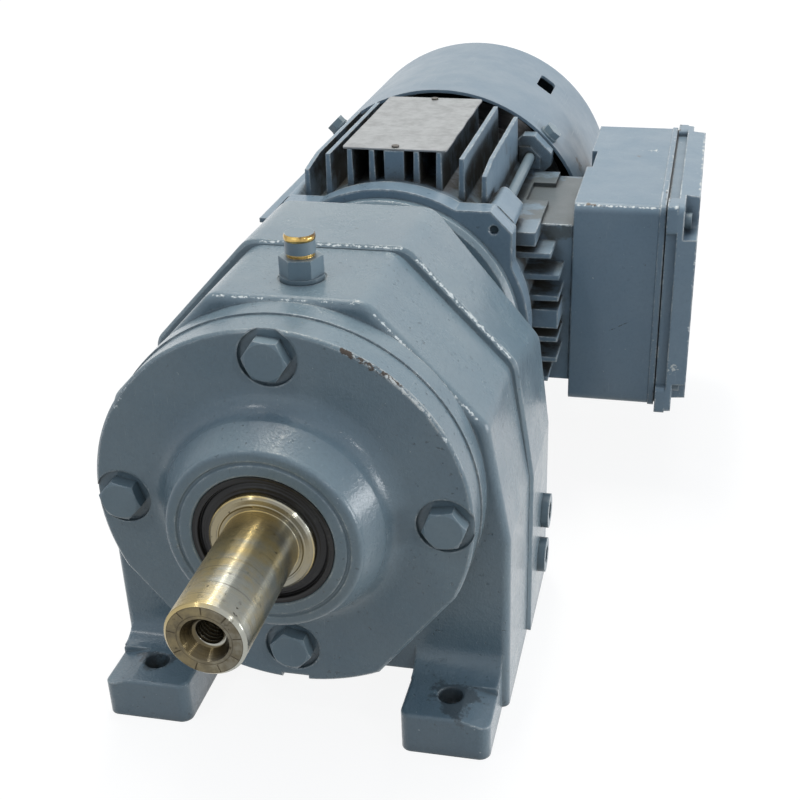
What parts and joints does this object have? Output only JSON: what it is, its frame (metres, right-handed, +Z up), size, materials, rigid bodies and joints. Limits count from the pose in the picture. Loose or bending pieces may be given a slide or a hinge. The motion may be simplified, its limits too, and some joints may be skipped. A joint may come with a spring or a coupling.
{
  "type": "gear motor",
  "caption": "Foot-mounted coaxial gear motor with a keyed output shaft, a finned motor with brake and fan guard, and a terminal box on its side.",
  "frame": {"origin": "middle of the four foot holes, on the plane that the feet stand on", "axes": "+Z up; -Y along the output shaft, out of the gear unit; +Y along the motor to its fan guard; +X to the terminal box"},
  "size_m": [0.2022, 0.4591, 0.1721],
  "materials": {
    "housing_paint": "satin blue-grey paint over a slightly cast surface",
    "guard_paint": "satin blue-grey paint on smooth sheet",
    "box_paint": "satin blue-grey paint, a little chipped at the edges",
    "shaft_steel": "turned steel with a yellowish film of preserving oil",
    "gear_steel": "ground steel, oiled",
    "bearing_steel": "polished steel",
    "screw_steel": "zinc-plated steel",
    "seal_rubber": "black, slightly glossy",
    "brass": "bare brass, a little dull",
    "lamination": "dull steel",
    "copper": "enamelled copper wire",
    "lining": "brown friction lining",
    "black_plastic": "black plastic",
    "plate_silver": "thin silver sheet, lightly creased, blank"
  },
  "bodies": {
    "frame": {"gear_housing": "housing_paint", "output_cover": "housing_paint", "cover_screws": "housing_paint", "output_seal": "seal_rubber", "breather_body": "brass", "breather_cap": "housing_paint", "oil_plugs": "housing_paint", "motor_adapter": "housing_paint", "adapter_screws": "screw_steel", "flange_screws": "screw_steel", "input_seal": "seal_rubber", "motor_flange": "housing_paint", "stator_housing": "housing_paint", "stator_core": "lamination", "stator_windings": "copper", "rear_shield": "housing_paint", "tie_rods": "screw_steel", "brake_magnet": "lamination", "brake_coil": "copper", "brake_bolts": "screw_steel", "fan_guard": "guard_paint", "guard_screws": "screw_steel", "terminal_box_base": "box_paint", "terminal_box_gasket": "seal_rubber", "terminal_box_lid": "box_paint", "lid_screws": "screw_steel", "terminal_board": "black_plastic", "terminal_studs": "brass", "brake_rectifier": "black_plastic", "blanking_plugs": "black_plastic", "nameplate": "plate_silver", "nameplate_rivets": "screw_steel", "output_front_bearing_outer_ring": "bearing_steel", "output_tail_bearing_outer_ring": "bearing_steel", "layshaft_front_bearing_outer_ring": "bearing_steel", "layshaft_rear_bearing_outer_ring": "bearing_steel", "motor_drive_bearing_outer_ring": "bearing_steel", "motor_rear_bearing_outer_ring": "bearing_steel"},
    "output": {"output_shaft": "shaft_steel", "output_wheel": "gear_steel", "output_front_bearing_inner_ring": "bearing_steel", "output_tail_bearing_inner_ring": "bearing_steel"},
    "layshaft": {"layshaft": "gear_steel", "layshaft_wheel": "gear_steel", "layshaft_front_bearing_inner_ring": "bearing_steel", "layshaft_rear_bearing_inner_ring": "bearing_steel"},
    "rotor": {"rotor_shaft": "gear_steel", "input_pinion": "gear_steel", "rotor_core": "lamination", "motor_drive_bearing_inner_ring": "bearing_steel", "motor_rear_bearing_inner_ring": "bearing_steel", "brake_hub": "gear_steel", "brake_disc": "lining", "fan": "black_plastic"},
    "armature": {"brake_armature": "lamination"}
  },
  "joints": [
    {"name": "rotor_spin", "type": "hinge", "parent": "frame", "child": "rotor", "pos_m": [0, 0.15, 0.09], "axis": [0, 1, 0], "continuous": true},
    {"name": "layshaft_spin", "type": "hinge", "parent": "frame", "child": "layshaft", "pos_m": [0, 0, 0.048], "axis": [0, 1, 0], "continuous": true},
    {"name": "output_spin", "type": "hinge", "parent": "frame", "child": "output", "pos_m": [0, -0.05, 0.09], "axis": [0, 1, 0], "continuous": true},
    {"name": "armature_slide", "type": "slide", "parent": "frame", "child": "armature", "axis": [0, 1, 0], "range_m": [0, 0.0004], "stiffness_N_per_m": 5000, "springref_m": -0.001}
  ],
  "couplings": [
    {"joint": "layshaft_spin", "follows": "rotor_spin", "ratio": -0.33333},
    {"joint": "output_spin", "follows": "rotor_spin", "ratio": 0.13333}
  ]
}
